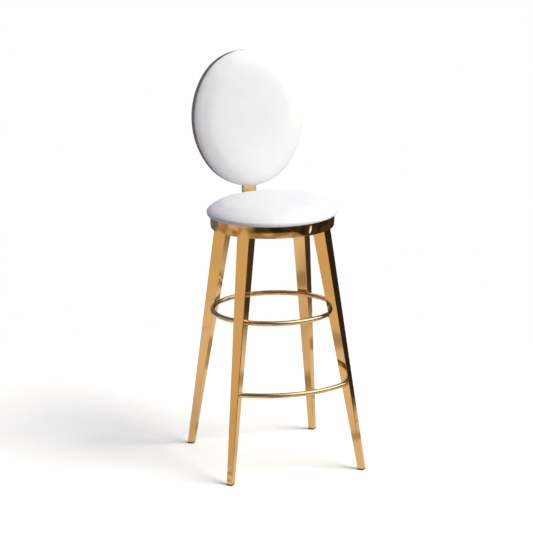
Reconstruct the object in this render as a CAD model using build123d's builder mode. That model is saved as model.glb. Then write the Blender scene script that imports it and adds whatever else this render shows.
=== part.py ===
from build123d import *
from math import asin, atan2, cos, degrees, radians, sin
import os

# Bar stool: a round padded seat on four tapered legs, a foot ring, a curved front footrest,
# and an oval padded backrest on one stem. Millimetres, +Z up, floor at Z = 0.
# The sitter faces -Y, so the sitter's right is -X. The origin is on the floor, at the middle
# of the stool's overall width and depth, and the seat's axis stands a little in front of it.

# Legs: centres at the floor and under the seat, from the seat's axis, as (x, y)
FRONT_FOOT = (195.0, -184.5)
FRONT_TOP = (110.0, -104.5)
REAR_FOOT = (188.0, 227.5)
REAR_TOP = (114.5, 91.0)
LEG_FOOT_SIDE = 17.4
LEG_TOP_SIDE = 38.4
LEG_WALL = 1.5
LEG_CORNER = 1.6

# Plastic glides under the legs
GLIDE_HEIGHT = 4.0
GLIDE_PLUG = 16.0
GLIDE_GAP = 0.2
GLIDE_EDGE = 0.8

# Seat frame: a rolled band with a flat ring welded into its bottom and tabs near its top
RING_BOTTOM = 690.0
BAND_HEIGHT = 35.6
BAND_R = 175.5
BAND_BULGE = 1.5
BAND_WALL = 2.0
BASE_INNER_R = 122.0
PLATE = 3.0
TAB_INNER_R = 104.0
TAB_WIDTH = 30.0
TAB_HOLE_R = 3.5
TAB_HOLE_CIRCLE = 116.0
TAB_ANGLE = 45.0

# Seat pad
SEAT_TOP = 776.0
PAD_R = 184.5
PAD_WIDEST = 8.5
PAD_SEAM_R = 176.0
DOME_TURNS = (0, 30, 60, 90)
LEATHER = 1.2
SEAT_BOARD_R = 172.5
SEAT_BOARD = 12.0
HEM_INNER_R = 150.0
DUST_COVER_R = 148.0
DUST_COVER = 0.8

# Seat fasteners
SCREW_R = 3.0
SCREW_LENGTH = 20.0
SCREW_HEAD_R = 5.5
SCREW_HEAD = 4.0
SOCKET_SIDE = 4.0
SOCKET_DEPTH = 2.2
WASHER_R = 7.0
WASHER = 1.6
FASTENER_GAP = 0.1
TEE_FLANGE_R = 9.5
TEE_FLANGE = 1.5
TEE_BARREL_R = 3.9
TEE_BARREL = 9.0
TEE_POCKET_R = 11.0
TEE_POCKET = 3.0
STAPLE_COUNT = 24
STAPLE_CIRCLE = 162.0
STAPLE = (0.6, 10.0, 0.5)

# Foot ring and front footrest, both of one round tube
TUBE_R = 7.0
TUBE_WALL = 1.5
FOOT_RING_R = 173.1
FOOT_RING_Y = 3.45
FOOT_RING_Z = 446.9
VENT_R = 2.0
FOOTREST_Z = 252.0
FOOTREST_BOW = 51.0
FOOTREST_SINK = 8.0

# Stem: a flat tube that runs under the seat, bends and rises into the backrest
STEM_WIDTH = 40.0
STEM_THICK = 15.0
STEM_WALL = 2.0
STEM_CORNER = 2.5
STEM_BEND_R = 34.0
STEM_FRONT_Y = -165.0
STEM_DEPTH = 8.0

# Backrest: an oval of four arcs, leaning back, measured from the middle of its rear face
BACK_Y = 243.0
BACK_Z = 957.0
BACK_LEAN = 6.0
OVAL_HALF_WIDTH = 161.0
OVAL_HALF_HEIGHT = 195.0
OVAL_END_R = 145.0
RIM_DEPTH = 30.0
RIM_BULGE = 1.2
RIM_WALL = 4.0
RIM_EDGE = 0.8
LUG_DEPTH = 27.0
LUG_X = (120.0, 154.0)
LUG_Y = 70.0
LUG_HEIGHT = 24.0
LUG_HOLE_X = 128.0
LUG_HOLE_R = 2.5
BACK_BOARD = 9.0
BACK_BOARD_INSET = 3.6
BACK_HEM_INSET = 16.0
CUSHION_SEAM = 2.0
CUSHION_WIDEST = 6.5
CUSHION_ROLL = 75.0
CUSHION_CROWN = 25.5
SIDE_TURNS = (0, 30, 60, 90)
CROWN_TURNS = (0, 18, 36, 54, 72, 90)
BACK_SCREW_R = 2.2
BACK_SCREW_HEAD_R = 4.5
BACK_SCREW_HEAD = 3.0
BACK_SCREW_REACH = 11.0
PANEL_INSET = 4.3
PANEL_DEPTH = 1.5
PANEL = 3.0
PANEL_COVER = 0.8
PIN_X = 85.0
PIN_Y = 95.0
PIN_R = 2.9
PIN_HEAD_R = 7.0
PIN_HEAD = 1.5
PIN_REACH = 34.0

# The two circles of the oval, and the turn at which one hands over to the other
end_shift = OVAL_HALF_HEIGHT - OVAL_END_R
end_short = OVAL_HALF_WIDTH - OVAL_END_R
side_shift = (end_shift**2 - end_short**2) / (2 * end_short)
side_r = OVAL_HALF_WIDTH + side_shift
blend = degrees(atan2(end_shift, side_shift))

# The footrest's arc ends in the middle of the front legs' facing sides
footrest_share = FOOTREST_Z / RING_BOTTOM
footrest_leg_x = FRONT_FOOT[0] + (FRONT_TOP[0] - FRONT_FOOT[0]) * footrest_share
footrest_leg_y = FRONT_FOOT[1] + (FRONT_TOP[1] - FRONT_FOOT[1]) * footrest_share
footrest_leg_side = LEG_FOOT_SIDE + (LEG_TOP_SIDE - LEG_FOOT_SIDE) * footrest_share
side_middle = footrest_leg_side / 2 * sin(radians(45))
footrest_half = footrest_leg_x - side_middle
footrest_r = (footrest_half**2 + FOOTREST_BOW**2) / (2 * FOOTREST_BOW)
footrest_front = footrest_leg_y - side_middle - FOOTREST_BOW
footrest_turn = degrees(asin(footrest_half / footrest_r) + FOOTREST_SINK / footrest_r)

# The seat's axis is placed so that the footrest and the backrest's top reach equally far from the origin
front_reach = TUBE_R - footrest_front
rear_reach = BACK_Y + (OVAL_HALF_HEIGHT - RIM_BULGE) * sin(radians(BACK_LEAN))
SEAT_Y = (front_reach - rear_reach) / 2

# Heights that follow from the ones above
base_top = RING_BOTTOM + PLATE
band_top = RING_BOTTOM + BAND_HEIGHT
band_edge_r = BAND_R - BAND_BULGE
band_inner_r = band_edge_r - BAND_WALL
tab_bottom = band_top - PLATE
board_bottom = band_top + LEATHER
board_top = board_bottom + SEAT_BOARD
screw_seat = tab_bottom - WASHER

LEGS = {
    "front_right": ((-FRONT_FOOT[0], FRONT_FOOT[1]), (-FRONT_TOP[0], FRONT_TOP[1])),
    "front_left": (FRONT_FOOT, FRONT_TOP),
    "rear_right": ((-REAR_FOOT[0], REAR_FOOT[1]), (-REAR_TOP[0], REAR_TOP[1])),
    "rear_left": (REAR_FOOT, REAR_TOP),
}
LUG_POINTS = [(x, y) for x in (-LUG_HOLE_X, LUG_HOLE_X) for y in (-LUG_Y, LUG_Y)]
PIN_POINTS = [(x, y) for x in (-PIN_X, PIN_X) for y in (-PIN_Y, PIN_Y)]

SEAT_AXIS = Axis((0, SEAT_Y, 0), (0, 0, 1))
SEAT_SECTION = Plane(origin=(0, SEAT_Y, 0), x_dir=(1, 0, 0), z_dir=(0, -1, 0))
lean = radians(BACK_LEAN)
BACK_PLANE = Plane(origin=(0, SEAT_Y + BACK_Y, BACK_Z), x_dir=(1, 0, 0), z_dir=(0, -cos(lean), sin(lean)))


def level(z):
    """Horizontal plane at height z, centred on the seat's axis."""
    return Plane(origin=(0, SEAT_Y, z))


def leg_bar(foot, top, heights, inset, corner):
    """Square sections of a leg at two heights, drawn in by inset, with a corner facing front."""
    sections = []
    for z in heights:
        share = z / RING_BOTTOM
        x = foot[0] + (top[0] - foot[0]) * share
        y = foot[1] + (top[1] - foot[1]) * share
        side = LEG_FOOT_SIDE + (LEG_TOP_SIDE - LEG_FOOT_SIDE) * share - 2 * inset
        with BuildSketch(Plane(origin=(x, SEAT_Y + y, z), x_dir=(1, 1, 0))) as section:
            RectangleRounded(side, side, corner)
        sections.append(section.sketch)
    return sections


def leg_outer(foot, top):
    """Outer sections of a whole leg, from its glide to the seat frame."""
    return leg_bar(foot, top, (GLIDE_HEIGHT, RING_BOTTOM), 0, LEG_CORNER)


def pad_section(inset):
    """Half section of the seat pad, drawn in by inset: a domed top, and a side that tucks in to its seam."""
    bottom = band_top + inset
    crown = SEAT_TOP - inset
    widest = band_top + PAD_WIDEST
    seam_r = PAD_SEAM_R - inset
    dome = []
    for turn in DOME_TURNS:
        rise = (crown - widest) * sin(radians(turn))
        dome.append(((PAD_R - inset) * cos(radians(turn)), widest + rise))
    dome[-1] = (0, crown)
    with BuildSketch(SEAT_SECTION) as section:
        with BuildLine():
            TangentArc((PAD_R - inset, widest), (seam_r, bottom), tangent=(0, -1))
            Spline(dome, tangents=((0, 1), (-1, 0)))
            Polyline((0, crown), (0, bottom), (seam_r, bottom))
        make_face()
    return section.sketch


def oval(depth, inset):
    """The backrest's outline of four arcs, drawn in by inset, at a depth in front of its rear face."""
    with BuildSketch(BACK_PLANE.offset(depth)) as outline:
        with BuildLine():
            for turn in (0, 180):
                toward = 1 if turn == 0 else -1
                CenterArc((-toward * side_shift, 0), side_r - inset, turn - blend, 2 * blend)
                CenterArc((0, toward * end_shift), OVAL_END_R - inset, turn + blend, 180 - 2 * blend)
        make_face()
    return outline.sketch


def cushion_side(skin):
    """Ovals for the backrest cushion's side under a skin, from its seam on the rim out to its widest line."""
    sections = []
    for turn in SIDE_TURNS:
        inset = skin + CUSHION_SEAM * (1 - sin(radians(turn)))
        depth = RIM_DEPTH + CUSHION_WIDEST - (CUSHION_WIDEST - skin) * cos(radians(turn))
        sections.append(oval(depth, inset))
    return sections


def cushion_crown(skin):
    """Ovals for the backrest cushion's crown under a skin, which shrink and rise along a quarter ellipse."""
    sections = []
    for turn in CROWN_TURNS:
        inset = skin + CUSHION_ROLL * (1 - cos(radians(turn)))
        depth = RIM_DEPTH + CUSHION_WIDEST + (CUSHION_CROWN - skin) * sin(radians(turn))
        sections.append(oval(depth, inset))
    return sections


os.makedirs("parts", exist_ok=True)

# Tapered legs, folded from sheet, open at both ends
for place, (foot, top) in LEGS.items():
    with BuildPart() as leg:
        loft(leg_outer(foot, top))
        hollow = (GLIDE_HEIGHT, RING_BOTTOM)
        loft(leg_bar(foot, top, hollow, LEG_WALL, LEG_CORNER / 2), mode=Mode.SUBTRACT)
    leg.part.label = f"leg_{place}"
    export_step(leg.part, f"parts/leg_{place}.step")

# Glides: a foot the size of the leg's end, with a plug that pushes up into the tube
for place, (foot, top) in LEGS.items():
    with BuildPart() as glide:
        loft(leg_bar(foot, top, (0, GLIDE_HEIGHT), 0, LEG_CORNER))
        chamfer(glide.faces().sort_by(Axis.Z)[0].edges(), GLIDE_EDGE)
        plug = (GLIDE_HEIGHT, GLIDE_HEIGHT + GLIDE_PLUG)
        loft(leg_bar(foot, top, plug, LEG_WALL + GLIDE_GAP, LEG_CORNER / 2))
    glide.part.label = f"glide_{place}"
    export_step(glide.part, f"parts/glide_{place}.step")

# Foot ring: a closed hoop of tube, flattened a little where it is welded to the legs' inner faces,
# with a vent hole for plating where the rear left leg covers it
with BuildPart() as foot_ring:
    with Locations((0, SEAT_Y + FOOT_RING_Y, FOOT_RING_Z)):
        Torus(FOOT_RING_R, TUBE_R)
        Torus(FOOT_RING_R, TUBE_R - TUBE_WALL, mode=Mode.SUBTRACT)
    for foot, top in LEGS.values():
        loft(leg_outer(foot, top), mode=Mode.SUBTRACT)
    vent_plane = Plane(origin=(0, SEAT_Y + FOOT_RING_Y, FOOT_RING_Z), z_dir=(1, 1, 0))
    with BuildSketch(vent_plane.offset(FOOT_RING_R)):
        Circle(VENT_R)
    extrude(amount=2 * TUBE_R, mode=Mode.SUBTRACT)
foot_ring.part.label = "foot_ring"
export_step(foot_ring.part, "parts/foot_ring.step")

# Front footrest: a bowed tube, coped to the front legs' facing sides
with BuildPart() as front_footrest:
    bow_centre = (0, SEAT_Y + footrest_front + footrest_r, FOOTREST_Z)
    with BuildLine(Plane(origin=bow_centre)) as bow:
        CenterArc((0, 0), footrest_r, 270 - footrest_turn, 2 * footrest_turn)
    with BuildSketch(Plane(origin=bow.line @ 0, z_dir=bow.line % 0)):
        Circle(TUBE_R)
        Circle(TUBE_R - TUBE_WALL, mode=Mode.SUBTRACT)
    sweep(path=bow.line)
    for place in ("front_right", "front_left"):
        loft(leg_outer(*LEGS[place]), mode=Mode.SUBTRACT)
front_footrest.part.label = "front_footrest"
export_step(front_footrest.part, "parts/front_footrest.step")

# Seat base ring: a flat annular plate that the legs' tops are welded under
with BuildPart() as seat_base_ring:
    with BuildSketch(level(RING_BOTTOM)):
        Circle(band_inner_r)
        Circle(BASE_INNER_R, mode=Mode.SUBTRACT)
    extrude(amount=PLATE)
seat_base_ring.part.label = "seat_base_ring"
export_step(seat_base_ring.part, "parts/seat_base_ring.step")

# Seat band: a half-oval strip rolled round the base ring, so its outer face is slightly convex,
# with a window at the rear for the stem
stem_z = base_top + STEM_THICK / 2
with BuildPart() as seat_band:
    with BuildSketch(SEAT_SECTION):
        with BuildLine():
            strip_top = (band_edge_r, band_top)
            strip_bottom = (band_edge_r, RING_BOTTOM)
            ThreePointArc(strip_bottom, (BAND_R, (RING_BOTTOM + band_top) / 2), strip_top)
            Polyline(strip_top, (band_inner_r, band_top), (band_inner_r, RING_BOTTOM), strip_bottom)
        make_face()
    revolve(axis=SEAT_AXIS)
    with BuildSketch(Plane(origin=(0, SEAT_Y, stem_z), x_dir=(1, 0, 0), z_dir=(0, 1, 0))):
        RectangleRounded(STEM_WIDTH, STEM_THICK, STEM_CORNER)
    extrude(amount=2 * BAND_R, mode=Mode.SUBTRACT)
seat_band.part.label = "seat_band"
export_step(seat_band.part, "parts/seat_band.step")

# Seat tabs: flat lugs welded inside the band, flush with its top, one over each leg
with BuildPart() as seat_tabs:
    with BuildSketch(level(tab_bottom)):
        tab_length = BAND_R - TAB_INNER_R
        with PolarLocations(TAB_INNER_R + tab_length / 2, 4, TAB_ANGLE):
            Rectangle(tab_length, TAB_WIDTH)
        Circle(band_inner_r, mode=Mode.INTERSECT)
        with PolarLocations(TAB_HOLE_CIRCLE, 4, TAB_ANGLE):
            Circle(TAB_HOLE_R, mode=Mode.SUBTRACT)
    extrude(amount=PLATE)
seat_tabs.part.label = "seat_tabs"
export_step(seat_tabs.part, "parts/seat_tabs.step")

# Stem: one flat tube across the base ring, out through the band and up into the backrest rim
stem_line = BACK_PLANE.offset(STEM_DEPTH)
stem_rise = (stem_z - stem_line.origin.Z) / cos(lean)
stem_corner = stem_line.origin + stem_line.y_dir * stem_rise
stem_top = stem_line.origin - stem_line.y_dir * end_shift
with BuildPart() as back_stem:
    with BuildLine() as stem_path:
        FilletPolyline((0, SEAT_Y + STEM_FRONT_Y, stem_z), stem_corner, stem_top, radius=STEM_BEND_R)
    with BuildSketch(Plane(origin=stem_path.line @ 0, x_dir=(1, 0, 0), z_dir=(0, 1, 0))):
        RectangleRounded(STEM_WIDTH, STEM_THICK, STEM_CORNER)
        inside = (STEM_WIDTH - 2 * STEM_WALL, STEM_THICK - 2 * STEM_WALL)
        RectangleRounded(*inside, STEM_CORNER - STEM_WALL, mode=Mode.SUBTRACT)
    sweep(path=stem_path.line)
    extrude(oval(-STEM_THICK, RIM_WALL), amount=RIM_DEPTH + 2 * STEM_THICK, mode=Mode.SUBTRACT)
back_stem.part.label = "back_stem"
export_step(back_stem.part, "parts/back_stem.step")

# Backrest rim: a slightly convex oval band with softened edges, slotted at the bottom for the stem
back_axis = Axis(BACK_PLANE.origin, BACK_PLANE.z_dir)
with BuildPart() as backrest_rim:
    loft([oval(0, RIM_BULGE), oval(RIM_DEPTH / 2, 0), oval(RIM_DEPTH, RIM_BULGE)])
    extrude(oval(0, RIM_WALL), amount=RIM_DEPTH, mode=Mode.SUBTRACT)
    for lip in (0, -1):
        fillet(backrest_rim.faces().sort_by(back_axis)[lip].edges(), RIM_EDGE)
    with BuildSketch(Plane(origin=stem_corner, x_dir=(1, 0, 0), z_dir=stem_line.y_dir)):
        RectangleRounded(STEM_WIDTH, STEM_THICK, STEM_CORNER)
    extrude(amount=-stem_rise - end_shift, mode=Mode.SUBTRACT)
backrest_rim.part.label = "backrest_rim"
export_step(backrest_rim.part, "parts/backrest_rim.step")

# Backrest lugs: flat plates welded inside the rim, flush with its front lip, which the cushion is screwed to
with BuildPart() as backrest_lugs:
    with BuildSketch(BACK_PLANE.offset(LUG_DEPTH)):
        lug_middle = (LUG_X[0] + LUG_X[1]) / 2
        with Locations(*[(x * lug_middle, y * LUG_Y) for x in (-1, 1) for y in (-1, 1)]):
            Rectangle(LUG_X[1] - LUG_X[0], LUG_HEIGHT)
        with Locations(*LUG_POINTS):
            Circle(LUG_HOLE_R, mode=Mode.SUBTRACT)
    extrude(amount=PLATE)
    extrude(oval(0, RIM_WALL), amount=RIM_DEPTH, mode=Mode.INTERSECT)
backrest_lugs.part.label = "backrest_lugs"
export_step(backrest_lugs.part, "parts/backrest_lugs.step")

# Backrest board: oval plywood in front of the rim, drilled for the lug screws and the rear panel's pins
board_rear = RIM_DEPTH + LEATHER
with BuildPart() as backrest_board:
    extrude(oval(board_rear, BACK_BOARD_INSET), amount=BACK_BOARD)
    with BuildSketch(BACK_PLANE.offset(board_rear)):
        with Locations(*LUG_POINTS):
            Circle(BACK_SCREW_R + FASTENER_GAP)
        with Locations(*PIN_POINTS):
            Circle(PIN_R + FASTENER_GAP)
    extrude(amount=BACK_BOARD, mode=Mode.SUBTRACT)
backrest_board.part.label = "backrest_board"
export_step(backrest_board.part, "parts/backrest_board.step")

# Backrest foam: crowned, over the front of the board and its edge
with BuildPart() as backrest_foam:
    loft(cushion_side(LEATHER))
    loft(cushion_crown(LEATHER))
    extrude(oval(board_rear, BACK_BOARD_INSET), amount=BACK_BOARD, mode=Mode.SUBTRACT)
backrest_foam.part.label = "backrest_foam"
export_step(backrest_foam.part, "parts/backrest_foam.step")

# Backrest cover: leatherette over the foam, turned in behind the board, so that its seam hides the rim's lip
with BuildPart() as backrest_cover:
    loft(cushion_side(0))
    loft(cushion_crown(0))
    loft(cushion_side(LEATHER), mode=Mode.SUBTRACT)
    loft(cushion_crown(LEATHER), mode=Mode.SUBTRACT)
    extrude(oval(RIM_DEPTH, BACK_HEM_INSET), amount=LEATHER, mode=Mode.SUBTRACT)
backrest_cover.part.label = "backrest_cover"
export_step(backrest_cover.part, "parts/backrest_cover.step")

# Backrest screws: pan-head wood screws from the lugs into the board
with BuildPart() as backrest_screws:
    with BuildSketch(BACK_PLANE.offset(LUG_DEPTH)):
        with Locations(*LUG_POINTS):
            Circle(BACK_SCREW_HEAD_R)
    extrude(amount=-BACK_SCREW_HEAD)
    with BuildSketch(BACK_PLANE.offset(LUG_DEPTH)):
        with Locations(*LUG_POINTS):
            Circle(BACK_SCREW_R)
    extrude(amount=BACK_SCREW_REACH)
backrest_screws.part.label = "backrest_screws"
export_step(backrest_screws.part, "parts/backrest_screws.step")

# Rear panel: thin oval board that closes the back of the rim
with BuildPart() as rear_panel:
    extrude(oval(PANEL_DEPTH, PANEL_INSET), amount=PANEL)
rear_panel.part.label = "rear_panel"
export_step(rear_panel.part, "parts/rear_panel.step")

# Rear panel cover: leatherette bonded to the panel's rear face
with BuildPart() as rear_panel_cover:
    extrude(oval(PANEL_DEPTH - PANEL_COVER, PANEL_INSET), amount=PANEL_COVER)
rear_panel_cover.part.label = "rear_panel_cover"
export_step(rear_panel_cover.part, "parts/rear_panel_cover.step")

# Rear panel pins: push pins bonded to the panel, pressed into the backrest board
with BuildPart() as rear_panel_pins:
    with BuildSketch(BACK_PLANE.offset(PANEL_DEPTH + PANEL)):
        with Locations(*PIN_POINTS):
            Circle(PIN_HEAD_R)
    extrude(amount=PIN_HEAD)
    with BuildSketch(BACK_PLANE.offset(PANEL_DEPTH + PANEL)):
        with Locations(*PIN_POINTS):
            Circle(PIN_R)
    extrude(amount=PIN_REACH)
rear_panel_pins.part.label = "rear_panel_pins"
export_step(rear_panel_pins.part, "parts/rear_panel_pins.step")

# Seat board: plywood disc with a hole for each tee nut
with BuildPart() as seat_board:
    with BuildSketch(level(board_bottom)):
        Circle(SEAT_BOARD_R)
        with PolarLocations(TAB_HOLE_CIRCLE, 4, TAB_ANGLE):
            Circle(TEE_BARREL_R + FASTENER_GAP, mode=Mode.SUBTRACT)
    extrude(amount=SEAT_BOARD)
seat_board.part.label = "seat_board"
export_step(seat_board.part, "parts/seat_board.step")

# Seat foam: crowned, over the board and its edge, with pockets over the tee nuts
with BuildPart() as seat_foam:
    revolve(pad_section(LEATHER), axis=SEAT_AXIS)
    with BuildSketch(level(board_bottom)):
        Circle(SEAT_BOARD_R)
    extrude(amount=SEAT_BOARD, mode=Mode.SUBTRACT)
    with BuildSketch(level(board_top)):
        with PolarLocations(TAB_HOLE_CIRCLE, 4, TAB_ANGLE):
            Circle(TEE_POCKET_R)
    extrude(amount=TEE_POCKET, mode=Mode.SUBTRACT)
seat_foam.part.label = "seat_foam"
export_step(seat_foam.part, "parts/seat_foam.step")

# Seat cover: leatherette over the foam, turned in under the board
with BuildPart() as seat_cover:
    revolve(pad_section(0), axis=SEAT_AXIS)
    revolve(pad_section(LEATHER), axis=SEAT_AXIS, mode=Mode.SUBTRACT)
    with BuildSketch(level(band_top)):
        Circle(HEM_INNER_R)
    extrude(amount=LEATHER, mode=Mode.SUBTRACT)
seat_cover.part.label = "seat_cover"
export_step(seat_cover.part, "parts/seat_cover.step")

# Dust cover: thin cloth under the board, inside the hem
with BuildPart() as seat_dust_cover:
    with BuildSketch(level(board_bottom)):
        Circle(DUST_COVER_R)
        with PolarLocations(TAB_HOLE_CIRCLE, 4, TAB_ANGLE):
            Circle(TAB_HOLE_R, mode=Mode.SUBTRACT)
    extrude(amount=-DUST_COVER)
seat_dust_cover.part.label = "seat_dust_cover"
export_step(seat_dust_cover.part, "parts/seat_dust_cover.step")

# Staples that hold the hem to the board
with BuildPart() as seat_staples:
    with BuildSketch(level(band_top)):
        with PolarLocations(STAPLE_CIRCLE, STAPLE_COUNT, 180 / STAPLE_COUNT):
            Rectangle(STAPLE[0], STAPLE[1])
    extrude(amount=-STAPLE[2])
seat_staples.part.label = "seat_staples"
export_step(seat_staples.part, "parts/seat_staples.step")

# Seat screws: socket-head machine screws, up through the tabs into the tee nuts
with BuildPart() as seat_screws:
    with BuildSketch(level(screw_seat)):
        with PolarLocations(TAB_HOLE_CIRCLE, 4, TAB_ANGLE):
            Circle(SCREW_HEAD_R)
    extrude(amount=-SCREW_HEAD)
    with BuildSketch(level(screw_seat - SCREW_HEAD)):
        with PolarLocations(TAB_HOLE_CIRCLE, 4, TAB_ANGLE):
            RegularPolygon(SOCKET_SIDE / 2, 6, major_radius=False)
    extrude(amount=SOCKET_DEPTH, mode=Mode.SUBTRACT)
    with BuildSketch(level(screw_seat)):
        with PolarLocations(TAB_HOLE_CIRCLE, 4, TAB_ANGLE):
            Circle(SCREW_R)
    extrude(amount=SCREW_LENGTH)
seat_screws.part.label = "seat_screws"
export_step(seat_screws.part, "parts/seat_screws.step")

# Seat washers, between the screw heads and the tabs
with BuildPart() as seat_washers:
    with BuildSketch(level(screw_seat)):
        with PolarLocations(TAB_HOLE_CIRCLE, 4, TAB_ANGLE):
            Circle(WASHER_R)
            Circle(SCREW_R + FASTENER_GAP, mode=Mode.SUBTRACT)
    extrude(amount=WASHER)
seat_washers.part.label = "seat_washers"
export_step(seat_washers.part, "parts/seat_washers.step")

# Tee nuts: a flange on top of the board and a barrel down its hole
with BuildPart() as seat_tee_nuts:
    with BuildSketch(level(board_top)):
        with PolarLocations(TAB_HOLE_CIRCLE, 4, TAB_ANGLE):
            Circle(TEE_FLANGE_R)
    extrude(amount=TEE_FLANGE)
    with BuildSketch(level(board_top)):
        with PolarLocations(TAB_HOLE_CIRCLE, 4, TAB_ANGLE):
            Circle(TEE_BARREL_R)
    extrude(amount=-TEE_BARREL)
    with BuildSketch(level(board_top - TEE_BARREL)):
        with PolarLocations(TAB_HOLE_CIRCLE, 4, TAB_ANGLE):
            Circle(SCREW_R + FASTENER_GAP)
    extrude(amount=TEE_BARREL + TEE_FLANGE, mode=Mode.SUBTRACT)
seat_tee_nuts.part.label = "seat_tee_nuts"
export_step(seat_tee_nuts.part, "parts/seat_tee_nuts.step")
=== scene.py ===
from math import atan2, cos, pi, radians, sin

import bpy
from mathutils import Matrix, Vector


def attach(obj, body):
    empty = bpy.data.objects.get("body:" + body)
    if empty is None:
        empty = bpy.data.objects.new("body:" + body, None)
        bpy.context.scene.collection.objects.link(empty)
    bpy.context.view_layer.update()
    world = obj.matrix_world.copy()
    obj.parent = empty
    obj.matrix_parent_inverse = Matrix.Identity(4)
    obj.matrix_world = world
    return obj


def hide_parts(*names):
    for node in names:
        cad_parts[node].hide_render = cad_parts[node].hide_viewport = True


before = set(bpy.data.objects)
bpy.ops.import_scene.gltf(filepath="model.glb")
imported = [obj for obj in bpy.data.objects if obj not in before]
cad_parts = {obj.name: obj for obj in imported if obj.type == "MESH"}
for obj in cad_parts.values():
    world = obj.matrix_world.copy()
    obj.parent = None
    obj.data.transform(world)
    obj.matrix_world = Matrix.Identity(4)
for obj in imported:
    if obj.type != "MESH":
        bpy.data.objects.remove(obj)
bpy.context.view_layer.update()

# Camera: a long lens over seven metres away, off the sitter's right front and looking down fourteen
# degrees, leaning one degree, as the photograph was taken.
PHOTO_HEIGHT_PX = 539
FOCAL_PX = 2604.18
SENSOR_MM = 36
view_distance = 7.42744
view_from = radians(-17.762)
view_above = radians(14.004)
view_lean = radians(-0.994)
view_centre = Vector((-0.00293, 0.03150, 0.54820))
view_back = Vector((sin(view_from) * cos(view_above), -cos(view_from) * cos(view_above), sin(view_above)))
view_right = Vector((cos(view_from), sin(view_from), 0))
view_up = view_back.cross(view_right)
view_right, view_up = (
    view_right * cos(view_lean) + view_up * sin(view_lean),
    view_up * cos(view_lean) - view_right * sin(view_lean),
)
bpy.ops.object.select_all(action="DESELECT")
bpy.ops.object.camera_add()
camera = bpy.context.object
camera.name = "photograph_camera"
camera.matrix_world = Matrix.Translation(view_centre + view_back * view_distance) @ Matrix(
    (view_right, view_up, view_back)
).transposed().to_4x4()
camera.data.sensor_fit = "VERTICAL"
camera.data.sensor_height = SENSOR_MM
camera.data.lens = SENSOR_MM * FOCAL_PX / PHOTO_HEIGHT_PX
camera.data.clip_end = 60
bpy.context.scene.camera = camera
bpy.context.scene.view_settings.view_transform = "Standard"


# Studio: one broad soft lamp high on the front right, a fill from the same side and a light for the back,
# as in the open on a bright day. The camera sees plain white. Polished metal mirrors mottled warm ground,
# a deep blue sky and a dark belt along the skyline, from the front left round to the rear right.
def add(tree, kind, inputs=None, **settings):
    """One node of a kind, with its settings, and its inputs filled with values or linked to sockets."""
    node = tree.nodes.new(kind)
    for name, value in settings.items():
        setattr(node, name, value)
    for name, value in (inputs or {}).items():
        if isinstance(value, bpy.types.NodeSocket):
            tree.links.new(value, node.inputs[name])
        else:
            node.inputs[name].default_value = value
    return node


studio = bpy.data.worlds.new("bright_day")
bpy.context.scene.world = studio
studio.use_nodes = True
sky = studio.node_tree
sky.nodes.clear()
rays = add(sky, "ShaderNodeLightPath")
toward = add(sky, "ShaderNodeTexCoord").outputs["Generated"]
toward_xyz = add(sky, "ShaderNodeSeparateXYZ", {0: toward})


def nearness(ways, axis, outer, inner):
    """How near directions lie to an axis: a value that rises smoothly from 0 to 1 between two cosines."""
    facing = add(sky, "ShaderNodeVectorMath", {0: ways, 1: axis}, operation="DOT_PRODUCT")
    limits = {0: facing.outputs["Value"], 1: outer, 2: inner}
    return add(sky, "ShaderNodeMapRange", limits, interpolation_type="SMOOTHSTEP").outputs[0]


patches = add(sky, "ShaderNodeTexNoise", {"Vector": toward, "Scale": 2.2, "Detail": 1, "Roughness": 0.4})
bare_patch = add(
    sky, "ShaderNodeMapRange", {0: patches.outputs[0], 1: 0.36, 2: 0.58}, interpolation_type="SMOOTHSTEP"
)
ground = add(
    sky,
    "ShaderNodeMix",
    {0: bare_patch.outputs[0], 6: (0.40, 0.30, 0.20, 1), 7: (0.78, 0.62, 0.42, 1)},
    data_type="RGBA",
)
skyline = add(
    sky,
    "ShaderNodeMapRange",
    {0: toward_xyz.outputs["Z"], 1: 0.05, 2: 0.18},
    interpolation_type="SMOOTHSTEP",
)
open_air = add(
    sky,
    "ShaderNodeMix",
    {0: skyline.outputs[0], 6: ground.outputs[2], 7: (0.13, 0.18, 0.34, 1)},
    data_type="RGBA",
)

# Haze round the lamp, a dull blue patch at the rear left and a grey one low behind.
mirrored = open_air.outputs[2]
for axis, outer, inner, tone in (
    ((0.644, -0.372, 0.669), 0.55, 0.97, (1.7, 1.95, 2.5, 1)),
    ((-0.39, 0.92, 0.02), 0.90, 0.955, (0.15, 0.18, 0.30, 1)),
    ((-0.10, 0.86, -0.50), 0.91, 0.965, (0.16, 0.16, 0.19, 1)),
):
    near = nearness(toward, axis, outer, inner)
    mirrored = add(sky, "ShaderNodeMix", {0: near, 6: mirrored, 7: tone}, data_type="RGBA").outputs[2]

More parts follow.
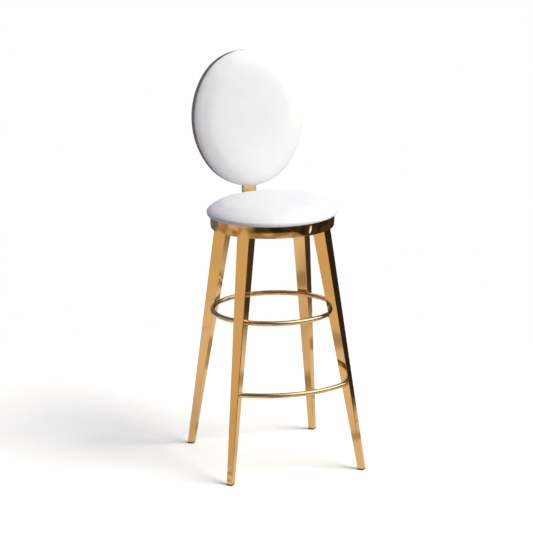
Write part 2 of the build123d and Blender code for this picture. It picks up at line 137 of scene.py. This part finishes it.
# The dark belt, whose lower edge drops toward the right.
far_side = nearness(toward, (0.819, -0.574, 0), -0.54, -0.14)
under_sky = add(
    sky,
    "ShaderNodeMapRange",
    {0: toward_xyz.outputs["Z"], 1: 0.30, 2: 0.12},
    interpolation_type="SMOOTHSTEP",
)
to_right = add(
    sky,
    "ShaderNodeMapRange",
    {0: toward_xyz.outputs["X"], 1: 0.30, 2: 0.95, 4: 0.42},
    interpolation_type="SMOOTHSTEP",
)
lowered = add(sky, "ShaderNodeMath", {0: toward_xyz.outputs["Z"], 1: to_right.outputs[0]}, operation="ADD")
over_ground = add(
    sky, "ShaderNodeMapRange", {0: lowered.outputs[0], 1: -0.36, 2: -0.17}, interpolation_type="SMOOTHSTEP"
)
far_strip = add(
    sky, "ShaderNodeMath", {0: under_sky.outputs[0], 1: over_ground.outputs[0]}, operation="MULTIPLY"
)
dark_side = add(sky, "ShaderNodeMath", {0: far_side, 1: far_strip.outputs[0]}, operation="MULTIPLY")
dark_tone = add(
    sky,
    "ShaderNodeMix",
    {0: bare_patch.outputs[0], 6: (0.024, 0.020, 0.018, 1), 7: (0.065, 0.050, 0.038, 1)},
    data_type="RGBA",
)
mirrored = add(
    sky, "ShaderNodeMix", {0: dark_side.outputs[0], 6: mirrored, 7: dark_tone.outputs[2]}, data_type="RGBA"
).outputs[2]

# Two small bright openings: a round one behind on the right, and a tall one in the dark belt.
drawn_tall = add(sky, "ShaderNodeVectorMath", {0: toward, 1: (1, 1, 0.25)}, operation="MULTIPLY")
tall_way = add(sky, "ShaderNodeVectorMath", {0: drawn_tall.outputs[0]}, operation="NORMALIZE")
for ways, axis, outer, inner, tone in (
    (toward, (0.34, 0.925, 0.17), 0.985, 0.996, (1.15, 1.4, 1.9, 1)),
    (tall_way.outputs[0], (0.8372, -0.5434, -0.0617), 0.9986, 0.9999, (1.6, 1.6, 1.6, 1)),
):
    near = nearness(ways, axis, outer, inner)
    mirrored = add(sky, "ShaderNodeMix", {0: near, 6: mirrored, 7: tone}, data_type="RGBA").outputs[2]

# What lights matt surfaces: the fill, and the light for the back.
lighting = (0.06, 0.06, 0.12, 1)
for axis, outer, inner, tone in (
    ((0.60, -0.78, 0.17), -0.4, 0.8, (0.50, 0.50, 0.51, 1)),
    ((0, 0.95, 0.31), 0.5, 0.95, (0.90, 0.90, 0.94, 1)),
):
    near = nearness(toward, axis, outer, inner)
    lighting = add(sky, "ShaderNodeMix", {0: near, 6: lighting, 7: tone}, data_type="RGBA").outputs[2]
lit = add(
    sky, "ShaderNodeMix", {0: rays.outputs["Is Glossy Ray"], 6: lighting, 7: mirrored}, data_type="RGBA"
)
seen = add(
    sky,
    "ShaderNodeMix",
    {0: rays.outputs["Is Camera Ray"], 6: lit.outputs[2], 7: (1, 1, 1, 1)},
    data_type="RGBA",
)
backdrop = add(sky, "ShaderNodeBackground", {"Color": seen.outputs[2], "Strength": 1})
add(sky, "ShaderNodeOutputWorld", {"Surface": backdrop.outputs[0]})

bpy.ops.object.light_add(type="SUN", rotation=(radians(47), 0, radians(46)))
lamp = bpy.context.object
lamp.name = "broad_lamp"
lamp.data.energy = 2.85
lamp.data.angle = radians(40)
lamp.data.color = (1.0, 0.98, 0.91)
lamp.visible_glossy = False

# Floor: a pale matt disc just under the feet, which keeps the shadow and fades out before its edge, so
# that it has no horizon. Glossy rays alone see a painted reflection on it, mottled warm ground with a pale
# blue patch behind, which polished metal mirrors. From below it is clear.
floor_radius = 1.7
floor_level = -0.0004
bpy.ops.mesh.primitive_circle_add(
    vertices=96, radius=floor_radius, fill_type="NGON", location=(0, 0, floor_level)
)
floor = bpy.context.object
floor.name = "pale_floor"
bpy.ops.object.transform_apply(location=True)
floor_paint = bpy.data.materials.new("matt_white_floor_paint")
floor_paint.use_nodes = True
paint = floor_paint.node_tree
paint.nodes.clear()
spot = add(paint, "ShaderNodeTexCoord").outputs["Object"]
reach = add(paint, "ShaderNodeVectorMath", {0: spot}, operation="LENGTH")
fade = add(
    paint, "ShaderNodeMapRange", {0: reach.outputs["Value"], 1: 0.95, 2: 1.6}, interpolation_type="SMOOTHSTEP"
)
floor_rays = add(paint, "ShaderNodeLightPath")
# Painted reflection: warm and dark mottled patches, and a pale blue patch behind, shown only to glossy rays
# so the gold mirrors them. The camera sees the floor white.
reflected_ground_noise = add(
    paint, "ShaderNodeTexNoise", {"Vector": spot, "Scale": 1000 / 320, "Detail": 1, "Roughness": 0.5}
)
reflected_ground_patch = add(
    paint, "ShaderNodeMapRange", {0: reflected_ground_noise.outputs[0], 1: 0.36, 2: 0.48}, interpolation_type="SMOOTHSTEP"
)
reflected_ground_tone = add(
    paint,
    "ShaderNodeMix",
    {0: reflected_ground_patch.outputs[0], 6: (0.42, 0.35, 0.29, 1), 7: (0.86, 0.78, 0.71, 1)},
    data_type="RGBA",
)
spot_xyz = add(paint, "ShaderNodeSeparateXYZ", {0: spot})
behind = add(
    paint, "ShaderNodeMapRange", {0: spot_xyz.outputs["Y"], 1: 0.7, 2: 1.15}, interpolation_type="SMOOTHSTEP"
)
mirrored_floor = add(
    paint,
    "ShaderNodeMix",
    {0: behind.outputs[0], 6: reflected_ground_tone.outputs[2], 7: (0.72, 0.86, 1.2, 1)},
    data_type="RGBA",
)
floor_seen = add(
    paint,
    "ShaderNodeMix",
    {0: floor_rays.outputs["Is Camera Ray"], 6: (0.34, 0.34, 0.40, 1), 7: (1.12, 1.12, 1.11, 1)},
    data_type="RGBA",
)
floor_tone = add(
    paint,
    "ShaderNodeMix",
    {0: floor_rays.outputs["Is Glossy Ray"], 6: floor_seen.outputs[2], 7: mirrored_floor.outputs[2]},
    data_type="RGBA",
)
matt = add(paint, "ShaderNodeBsdfDiffuse", {"Color": floor_tone.outputs[2]})
clear = add(paint, "ShaderNodeBsdfTransparent")
floor_side = add(paint, "ShaderNodeNewGeometry")
unseen = add(
    paint, "ShaderNodeMath", {0: fade.outputs[0], 1: floor_side.outputs["Backfacing"]}, operation="MAXIMUM"
)
faded = add(paint, "ShaderNodeMixShader", {0: unseen.outputs[0], 1: matt.outputs[0], 2: clear.outputs[0]})
add(paint, "ShaderNodeOutputMaterial", {"Surface": faded.outputs[0]})
floor.data.materials.append(floor_paint)


# Legs: four tapered square tubes, folded from steel sheet and welded under the seat frame with a
# corner to the front, then polished and coated gold with the rest of the frame.
def linear(code):
    """An sRGB hex colour, such as #E0AC62, as linear red, green, blue and an alpha of 1."""
    parts = [int(code[i : i + 2], 16) / 255 for i in (1, 3, 5)]
    return [p / 12.92 if p <= 0.04045 else ((p + 0.055) / 1.055) ** 2.4 for p in parts] + [1]


def dress(material, *names):
    """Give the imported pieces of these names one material."""
    for name in names:
        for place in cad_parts[name].material_slots:
            place.material = material


# Mirror-polished steel with a vapour-deposited gold coat: a clear warm mirror whose sheet is never
# quite flat, so reflections waver every few centimetres, with faint smears where hands have been.
gold_coat = bpy.data.materials.new("gold_coated_polished_steel")
gold_coat.use_nodes = True
gold = gold_coat.node_tree
gold.nodes.clear()
gold_at = add(gold, "ShaderNodeTexCoord").outputs["Object"]
sheet_wave = add(
    gold, "ShaderNodeTexNoise", {"Vector": gold_at, "Scale": 1000 / 60, "Detail": 0.5, "Roughness": 0.4}
)
smear = add(
    gold,
    "ShaderNodeTexNoise",
    {"Vector": gold_at, "Scale": 1000 / 22, "Detail": 5, "Roughness": 0.62, "Distortion": 0.6},
)
gold_tint = add(
    gold,
    "ShaderNodeMix",
    {0: sheet_wave.outputs[0], 6: linear("#E2BA7C"), 7: linear("#E9C489")},
    data_type="RGBA",
)
gold_gloss = add(gold, "ShaderNodeMapRange", {0: smear.outputs[0], 1: 0.35, 2: 0.75, 3: 0.03, 4: 0.09})
gold_wave = add(
    gold, "ShaderNodeBump", {"Strength": 0.45, "Distance": 0.0006, "Height": sheet_wave.outputs[0]}
)
gold_skin = add(
    gold,
    "ShaderNodeBsdfPrincipled",
    {
        "Base Color": gold_tint.outputs[2],
        "Metallic": 1.0,
        "Roughness": gold_gloss.outputs[0],
        "Normal": gold_wave.outputs[0],
    },
)
add(gold, "ShaderNodeOutputMaterial", {"Surface": gold_skin.outputs[0]})
dress(gold_coat, "leg_front_right", "leg_front_left", "leg_rear_right", "leg_rear_left")

# Glides: moulded polypropylene feet with plugs, pushed up into the open ends of the legs.
# Dull black with a spark-eroded mould grain, scuffed paler in places by the floor.
glide_plastic = bpy.data.materials.new("black_moulded_polypropylene")
glide_plastic.use_nodes = True
moulded = glide_plastic.node_tree
moulded.nodes.clear()
moulded_at = add(moulded, "ShaderNodeTexCoord").outputs["Object"]
mould_grain = add(moulded, "ShaderNodeTexNoise", {"Vector": moulded_at, "Scale": 1000 / 0.9, "Detail": 2})
scuffs = add(
    moulded, "ShaderNodeTexNoise", {"Vector": moulded_at, "Scale": 1000 / 7, "Detail": 6, "Roughness": 0.7}
)
scuffed = add(moulded, "ShaderNodeMapRange", {0: scuffs.outputs[0], 1: 0.50, 2: 0.75})
black_tint = add(
    moulded,
    "ShaderNodeMix",
    {0: scuffed.outputs[0], 6: linear("#1A1918"), 7: linear("#3A3835")},
    data_type="RGBA",
)
black_gloss = add(moulded, "ShaderNodeMapRange", {0: scuffs.outputs[0], 3: 0.38, 4: 0.62})
black_grain = add(
    moulded, "ShaderNodeBump", {"Strength": 0.25, "Distance": 0.0001, "Height": mould_grain.outputs[0]}
)
black_skin = add(
    moulded,
    "ShaderNodeBsdfPrincipled",
    {
        "Base Color": black_tint.outputs[2],
        "Roughness": black_gloss.outputs[0],
        "IOR": 1.49,
        "Normal": black_grain.outputs[0],
    },
)
add(moulded, "ShaderNodeOutputMaterial", {"Surface": black_skin.outputs[0]})
dress(glide_plastic, "glide_front_right", "glide_front_left", "glide_rear_right", "glide_rear_left")

# Foot ring and front footrest: round steel tube, rolled to a hoop and to a shallow bow, welded to the
# legs' inner faces and facing sides, and polished and coated with them.
dress(gold_coat, "foot_ring", "front_footrest")

# Tube welds: short beads above and below the ring at each leg, and one round each end of the footrest.
# Each is a row of overlapping drops left by the torch, brushed down and coated with the frame.
MM = 0.001
SEAT_Y = -20.556
RING_CENTRE = Vector((0, SEAT_Y + 3.45, 446.9))
FOOTREST_END = Vector((155.09, -184.70, 252.0))


def lay_bead(name, drops, thick, places):
    """One bead of drops of this radius at these points in mm, copied to each place and joined."""
    bpy.ops.object.select_all(action="DESELECT")
    row = []
    for drop in drops:
        bpy.ops.mesh.primitive_uv_sphere_add(
            segments=14, ring_count=8, radius=thick * MM, location=drop * MM
        )
        row.append(bpy.context.object)
    for each in row:
        each.select_set(True)
    bpy.context.view_layer.objects.active = row[0]
    bpy.ops.object.join()
    bead = bpy.context.object
    bpy.ops.object.transform_apply(location=True, rotation=True, scale=True)
    bead.data.remesh_voxel_size = 0.0005
    bpy.ops.object.voxel_remesh()
    brushed = bead.modifiers.new("brushed", "SMOOTH")
    brushed.factor = 0.5
    brushed.iterations = 3
    bpy.ops.object.modifier_apply(modifier="brushed")
    copies = [bead]
    for _ in places[1:]:
        bpy.ops.object.select_all(action="DESELECT")
        bead.select_set(True)
        bpy.context.view_layer.objects.active = bead
        bpy.ops.object.duplicate()
        copies.append(bpy.context.object)
    for each, place in zip(copies, places):
        each.matrix_world = place
        each.select_set(True)
    bpy.context.view_layer.objects.active = bead
    bpy.ops.object.transform_apply(location=True, rotation=True, scale=True)
    bpy.ops.object.join()
    bpy.ops.object.shade_smooth()
    bead.name = name
    bead.data.materials.append(gold_coat)
    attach(bead, "root")


ring_legs = [
    Matrix.Translation(RING_CENTRE * MM) @ Matrix.Rotation(radians(45 + 90 * corner), 4, "Z")
    for corner in range(4)
]
for name, run, rise, thick in (
    ("upper_ring_welds", 177.9, 5.5, 1.6),
    ("lower_ring_welds", 179.3, -4.9, 1.9),
):
    ring_drops = [
        Vector((run * cos(radians(step)), run * sin(radians(step)), rise))
        for step in (-3.5, -2.8, -2.1, -1.4, -0.7, 0, 0.7, 1.4, 2.1, 2.8, 3.5)
    ]
    lay_bead(name, ring_drops, thick, ring_legs)
end_bead_radius = 7.5
end_bead_stand = 0.3
footrest_drops = [
    Vector((end_bead_stand, end_bead_radius * cos(radians(turn)), end_bead_radius * sin(radians(turn))))
    for turn in range(0, 360, 15)
]
footrest_ends = [
    Matrix.Translation(Vector((side * FOOTREST_END.x, FOOTREST_END.y, FOOTREST_END.z)) * MM)
    @ Matrix.Rotation(radians(side * 45), 4, "Z")
    for side in (1, -1)
]
lay_bead("footrest_welds", footrest_drops, 1.5, footrest_ends)

# Seat frame: a flat base ring inside a rolled, slightly convex band, with four tabs flush with its top.
# All of it is steel, welded, polished and coated as one with the legs.
dress(gold_coat, "seat_base_ring", "seat_band", "seat_tabs")

# Stem and backrest rim: one flat tube crosses the base ring, leaves through the band, bends and rises
# into an oval hoop with four lugs inside. Coated with the rest of the frame.
dress(gold_coat, "back_stem", "backrest_rim", "backrest_lugs")

# Backrest board: an oval of raw plywood behind the cushion, screwed to the lugs.
# Pale birch face with long brown grain lines and a dull open surface.
birch_ply = bpy.data.materials.new("raw_birch_plywood")
birch_ply.use_nodes = True
ply = birch_ply.node_tree
ply.nodes.clear()
ply_at = add(ply, "ShaderNodeTexCoord").outputs["Object"]
ply_along = add(ply, "ShaderNodeMapping", {"Vector": ply_at, "Scale": (12, 1, 12)})
ply_rings = add(
    ply,
    "ShaderNodeTexNoise",
    {"Vector": ply_along.outputs[0], "Scale": 1000 / 36, "Detail": 6, "Roughness": 0.6, "Distortion": 0.4},
)
ply_tint = add(
    ply,
    "ShaderNodeMix",
    {0: ply_rings.outputs[0], 6: linear("#B48F61"), 7: linear("#D8BC90")},
    data_type="RGBA",
)
ply_grain = add(
    ply, "ShaderNodeBump", {"Strength": 0.3, "Distance": 0.0002, "Height": ply_rings.outputs[0]}
)
ply_skin = add(
    ply,
    "ShaderNodeBsdfPrincipled",
    {"Base Color": ply_tint.outputs[2], "Roughness": 0.72, "Normal": ply_grain.outputs[0]},
)
add(ply, "ShaderNodeOutputMaterial", {"Surface": ply_skin.outputs[0]})
dress(birch_ply, "backrest_board")

# Backrest cushion: crowned foam under one tight piece of white leatherette, pulled over the oval board
# in front of the rim, so the cushion's side rolls out over the rim's front lip and hides it.
BACK_Y = 243.0
BACK_Z = 957.0
BACK_LEAN = 6.0
OVAL_HALF = (161.0, 195.0)
OVAL_END_R = 145.0
back_bulge = 1.5
back_shoulder = 36.5
back_crown = 24.5
back_held_below = 39.0
back_slack = 1.4

# Coated cloth: a bright white vinyl skin with a fine pebbled grain about a millimetre across, drawn a
# little coarser so that it shows, and a soft shine that is duller where the skin is stretched.
leatherette = bpy.data.materials.new("white_vinyl_leatherette")
leatherette.use_nodes = True
vinyl = leatherette.node_tree
vinyl.nodes.clear()
vinyl_at = add(vinyl, "ShaderNodeTexCoord").outputs["Object"]
pebbles = add(
    vinyl,
    "ShaderNodeTexVoronoi",
    {"Vector": vinyl_at, "Scale": 1000 / 1.6, "Randomness": 1.0},
    feature="SMOOTH_F1",
)
handling = add(
    vinyl, "ShaderNodeTexNoise", {"Vector": vinyl_at, "Scale": 1000 / 45, "Detail": 4, "Roughness": 0.55}
)
vinyl_tint = add(
    vinyl,
    "ShaderNodeMix",
    {0: handling.outputs[0], 6: linear("#F1F1F3"), 7: linear("#F8F8F9")},
    data_type="RGBA",
)
vinyl_gloss = add(
    vinyl, "ShaderNodeMapRange", {0: handling.outputs[0], 1: 0.3, 2: 0.7, 3: 0.40, 4: 0.52}
)
vinyl_grain = add(
    vinyl, "ShaderNodeBump", {"Strength": 0.12, "Distance": 0.0002, "Height": pebbles.outputs[0]}
)
vinyl_skin = add(
    vinyl,
    "ShaderNodeBsdfPrincipled",
    {
        "Base Color": vinyl_tint.outputs[2],
        "Roughness": vinyl_gloss.outputs[0],
        "IOR": 1.5,
        "Normal": vinyl_grain.outputs[0],
    },
)
add(vinyl, "ShaderNodeOutputMaterial", {"Surface": vinyl_skin.outputs[0]})


def plump(piece, held, cap):
    """Swell a cushion's crown under its skin by no more than cap, holding its side, and settle it."""
    last_frame = 20
    bpy.ops.object.select_all(action="DESELECT")
    piece.select_set(True)
    bpy.context.view_layer.objects.active = piece
    piece.data.remesh_voxel_size = 0.0045
    bpy.ops.object.voxel_remesh()
    even = piece.modifiers.new("even_skin", "SMOOTH")
    even.factor = 0.5
    even.iterations = 6
    bpy.ops.object.modifier_apply(modifier="even_skin")
    began = [v.co.copy() for v in piece.data.vertices]
    fixed = [v.index for v in piece.data.vertices if held(v.co)]
    free = [v.index for v in piece.data.vertices if not held(v.co)]
    piece.vertex_groups.new(name="pinned").add(fixed, 1.0, "REPLACE")
    piece.vertex_groups.new(name="loose").add(free, 1.0, "REPLACE")
    cloth = piece.modifiers.new("swell", "CLOTH")
    cloth.settings.vertex_group_mass = "pinned"
    cloth.settings.use_pressure = True
    cloth.settings.uniform_pressure_force = 12
    cloth.settings.effector_weights.gravity = 0
    cloth.point_cache.frame_start = 1
    cloth.point_cache.frame_end = last_frame
    for step in range(1, last_frame + 1):
        bpy.context.scene.frame_set(step)
    bpy.ops.object.modifier_apply(modifier="swell")
    bpy.context.scene.frame_set(1)
    for vertex, start in zip(piece.data.vertices, began):
        moved = vertex.co - start
        if moved.length > cap:
            vertex.co = start + moved * (cap / moved.length)
    settle = piece.modifiers.new("settle", "SMOOTH")
    settle.vertex_group = "loose"
    settle.factor = 0.5
    settle.iterations = 24
    bpy.ops.object.modifier_apply(modifier="settle")
    finer = piece.modifiers.new("finer", "SUBSURF")
    finer.levels = 1
    finer.render_levels = 1
    bpy.ops.object.modifier_apply(modifier="finer")
    bpy.ops.object.shade_smooth()


def oval_sheet(name):
    """A flat face in the backrest's outline, spun from one point about the centres of its four arcs."""
    end_shift = OVAL_HALF[1] - OVAL_END_R
    end_short = OVAL_HALF[0] - OVAL_END_R
    side_shift = (end_shift**2 - end_short**2) / (2 * end_short)
    side_turn = atan2(end_shift, side_shift)
    end_turn = pi - 2 * side_turn
    bpy.ops.object.select_all(action="DESELECT")
    bpy.ops.mesh.primitive_plane_add(size=0.01, location=(0, 0, 0))
    sheet = bpy.context.object
    sheet.name = name
    bpy.ops.object.mode_set(mode="EDIT")
    bpy.ops.mesh.select_all(action="SELECT")
    bpy.ops.mesh.merge(type="CENTER")
    bpy.ops.transform.translate(value=(OVAL_HALF[0] * MM, 0, 0))
    for centre, turn, steps in (
        ((-side_shift * MM, 0, 0), side_turn, 16),
        ((0, end_shift * MM, 0), end_turn, 40),
        ((side_shift * MM, 0, 0), 2 * side_turn, 32),
        ((0, -end_shift * MM, 0), end_turn, 40),
        ((-side_shift * MM, 0, 0), side_turn, 16),
    ):
        bpy.ops.mesh.spin(steps=steps, angle=-turn, center=centre, axis=(0, 0, 1))
    bpy.ops.mesh.select_all(action="SELECT")
    bpy.ops.mesh.remove_doubles(threshold=0.00001)
    bpy.ops.mesh.edge_face_add()
    bpy.ops.object.mode_set(mode="OBJECT")
    return sheet


def draw_up(piece, half, rings, place):
    """Raise a flat outline of these half sizes through rings of (inset, height) in mm, then close it."""
    wide, tall, level = half[0], half[1], 0
    bpy.ops.object.mode_set(mode="EDIT")
    bpy.ops.mesh.select_all(action="SELECT")
    for count, (inset, height) in enumerate(rings):
        if count:
            bpy.ops.mesh.extrude_region()
        bpy.ops.transform.resize(
            value=((half[0] - inset) / wide, (half[1] - inset) / tall, 1), center_override=(0, 0, 0)
        )
        bpy.ops.transform.translate(value=(0, 0, (height - level) * MM))
        wide, tall, level = half[0] - inset, half[1] - inset, height
    bpy.ops.mesh.poke()
    bpy.ops.mesh.select_all(action="SELECT")
    bpy.ops.mesh.remove_doubles(threshold=0.00001)
    bpy.ops.mesh.fill_holes(sides=0)
    bpy.ops.mesh.normals_make_consistent(inside=False)
    bpy.ops.object.mode_set(mode="OBJECT")
    piece.matrix_world = place
    bpy.ops.object.transform_apply(location=True, rotation=True, scale=True)


back_place = Matrix.Translation((0, (SEAT_Y + BACK_Y) * MM, BACK_Z * MM)) @ Matrix.Rotation(
    radians(90 - BACK_LEAN), 4, "X"
)
back_rings = [(1.6, 30.2), (0.2, 31.2), (-0.9, 33.4), (-back_bulge, back_shoulder)]
for run in (1, 3, 6.5, 11.5, 18.5, 27.5, 39.5, 54.5, 73.5, 96.5, 121.5, 146.5):
    share = 1 - run / (OVAL_HALF[0] + back_bulge)
    back_rings.append((run - back_bulge, back_shoulder + back_crown * (1 - share**3) ** 0.5))
backrest_cushion = oval_sheet("backrest_cushion")
draw_up(backrest_cushion, OVAL_HALF, back_rings, back_place)
plump(
    backrest_cushion,
    lambda co: (back_place.inverted() @ co).z < back_held_below * MM,
    back_slack * MM,
)
backrest_cushion.data.materials.append(leatherette)
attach(backrest_cushion, "root")
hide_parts("backrest_cover", "backrest_foam")

# Backrest screws: pan-head wood screws, driven through the lugs into the board.
# Zinc-plated steel, a grey metal with a faint bluish bloom and dull, uneven plating.
zinc = bpy.data.materials.new("zinc_plated_steel")
zinc.use_nodes = True
plated = zinc.node_tree
plated.nodes.clear()
plated_at = add(plated, "ShaderNodeTexCoord").outputs["Object"]
bloom = add(
    plated, "ShaderNodeTexNoise", {"Vector": plated_at, "Scale": 1000 / 3, "Detail": 4, "Roughness": 0.6}
)
zinc_tint = add(
    plated,
    "ShaderNodeMix",
    {0: bloom.outputs[0], 6: linear("#A9ADB3"), 7: linear("#C9CBCC")},
    data_type="RGBA",
)
zinc_gloss = add(plated, "ShaderNodeMapRange", {0: bloom.outputs[0], 3: 0.28, 4: 0.48})
zinc_skin = add(
    plated,
    "ShaderNodeBsdfPrincipled",
    {"Base Color": zinc_tint.outputs[2], "Metallic": 1.0, "Roughness": zinc_gloss.outputs[0]},
)
add(plated, "ShaderNodeOutputMaterial", {"Surface": zinc_skin.outputs[0]})
dress(zinc, "backrest_screws")

# Rear panel: thin brown hardboard with moulded push pins, pressed into the backrest board.
# Smooth, hard and faintly mottled, as pressed wood fibre is.
hardboard = bpy.data.materials.new("pressed_hardboard")
hardboard.use_nodes = True
pressed = hardboard.node_tree
pressed.nodes.clear()
pressed_at = add(pressed, "ShaderNodeTexCoord").outputs["Object"]
fibres = add(
    pressed, "ShaderNodeTexNoise", {"Vector": pressed_at, "Scale": 1000 / 4, "Detail": 7, "Roughness": 0.7}
)
hardboard_tint = add(
    pressed,
    "ShaderNodeMix",
    {0: fibres.outputs[0], 6: linear("#5E4229"), 7: linear("#86633F")},
    data_type="RGBA",
)
hardboard_grain = add(
    pressed, "ShaderNodeBump", {"Strength": 0.3, "Distance": 0.0001, "Height": fibres.outputs[0]}
)
hardboard_skin = add(
    pressed,
    "ShaderNodeBsdfPrincipled",
    {"Base Color": hardboard_tint.outputs[2], "Roughness": 0.58, "Normal": hardboard_grain.outputs[0]},
)
add(pressed, "ShaderNodeOutputMaterial", {"Surface": hardboard_skin.outputs[0]})
dress(hardboard, "rear_panel")
dress(glide_plastic, "rear_panel_pins")

# Rear panel upholstery: white leatherette over a thin sheet of wadding, wrapped round the hardboard,
# so the back of the oval is slightly cushioned and its edge rolls down into the rim.
rear_place = back_place @ Matrix.Rotation(radians(180), 4, "Y")
rear_rings = [
    (4.6, -1.45),
    (4.5, -1.2),
    (4.9, -0.5),
    (6.2, 0.3),
    (9.0, 1.1),
    (15.0, 1.9),
    (26.0, 2.7),
    (45.0, 3.5),
    (75.0, 4.2),
    (110.0, 4.7),
    (145.0, 4.9),
]
rear_upholstery = oval_sheet("rear_upholstery")
draw_up(rear_upholstery, OVAL_HALF, rear_rings, rear_place)
rounder = rear_upholstery.modifiers.new("rounder", "SUBSURF")
rounder.levels = 2
rounder.render_levels = 2
bpy.ops.object.modifier_apply(modifier="rounder")
bpy.ops.object.shade_smooth()
rear_upholstery.data.materials.append(leatherette)
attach(rear_upholstery, "root")
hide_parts("rear_panel_cover")

# Seat board and tee nuts: a disc of the same raw plywood as the backrest's board, with a zinc-plated
# nut pressed into each of its four holes to take the seat screws.
dress(birch_ply, "seat_board")
dress(zinc, "seat_tee_nuts")

# Seat cushion: a round domed foam pad under white leatherette, pulled down over the board's edge. Its
# side bulges past the band and hangs just below the band's top edge before it tucks in.
seat_place = Matrix.Translation((0, SEAT_Y * MM, 0))
pad_radius = 184.5
pad_shoulder = 734.6
dome_reach = 184.3
dome_rise = 39.3
seat_held_below = 737.0
seat_slack = 1.2
pad_rings = [
    (36.0, 728.0),
    (32.5, 726.6),
    (12.5, 726.0),
    (9.0, 725.4),
    (7.6, 723.2),
    (5.6, 721.8),
    (3.2, 722.4),
    (1.2, 724.8),
    (0.0, 728.0),
    (-0.6, 731.4),
    (-0.6, pad_shoulder),
]
for turn in (8, 16, 25, 35, 45, 55, 65, 75, 83):
    dome = radians(turn)
    pad_rings.append((pad_radius - dome_reach * cos(dome), pad_shoulder + dome_rise * sin(dome)))
bpy.ops.object.select_all(action="DESELECT")
bpy.ops.mesh.primitive_circle_add(
    vertices=128, radius=pad_radius * MM, fill_type="NGON", location=(0, 0, 0)
)
seat_cushion = bpy.context.object
seat_cushion.name = "seat_cushion"
draw_up(seat_cushion, (pad_radius, pad_radius), pad_rings, seat_place)
plump(seat_cushion, lambda co: co.z < seat_held_below * MM, seat_slack * MM)
seat_cushion.data.materials.append(leatherette)
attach(seat_cushion, "root")
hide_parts("seat_cover", "seat_foam")

# Dust cover and staples: black non-woven cloth under the board, and wire staples through the hem.
# The cloth is a dull felt of fine fibres. The staples are plated like the screws.
dust_cloth = bpy.data.materials.new("black_nonwoven_polypropylene_cloth")
dust_cloth.use_nodes = True
felt = dust_cloth.node_tree
felt.nodes.clear()
felt_at = add(felt, "ShaderNodeTexCoord").outputs["Object"]
felt_fibres = add(
    felt, "ShaderNodeTexNoise", {"Vector": felt_at, "Scale": 1000 / 1.5, "Detail": 6, "Roughness": 0.75}
)
felt_tint = add(
    felt,
    "ShaderNodeMix",
    {0: felt_fibres.outputs[0], 6: linear("#141414"), 7: linear("#2E2D2C")},
    data_type="RGBA",
)
felt_nap = add(
    felt, "ShaderNodeBump", {"Strength": 0.5, "Distance": 0.0002, "Height": felt_fibres.outputs[0]}
)
felt_skin = add(
    felt,
    "ShaderNodeBsdfPrincipled",
    {"Base Color": felt_tint.outputs[2], "Roughness": 0.95, "Normal": felt_nap.outputs[0]},
)
add(felt, "ShaderNodeOutputMaterial", {"Surface": felt_skin.outputs[0]})
dress(dust_cloth, "seat_dust_cover")
dress(zinc, "seat_staples")

# Seat screws and washers: socket-head machine screws, up through the tabs into the tee nuts, each with
# a washer under its head. All are zinc-plated steel, like the backrest's screws.
dress(zinc, "seat_screws", "seat_washers")
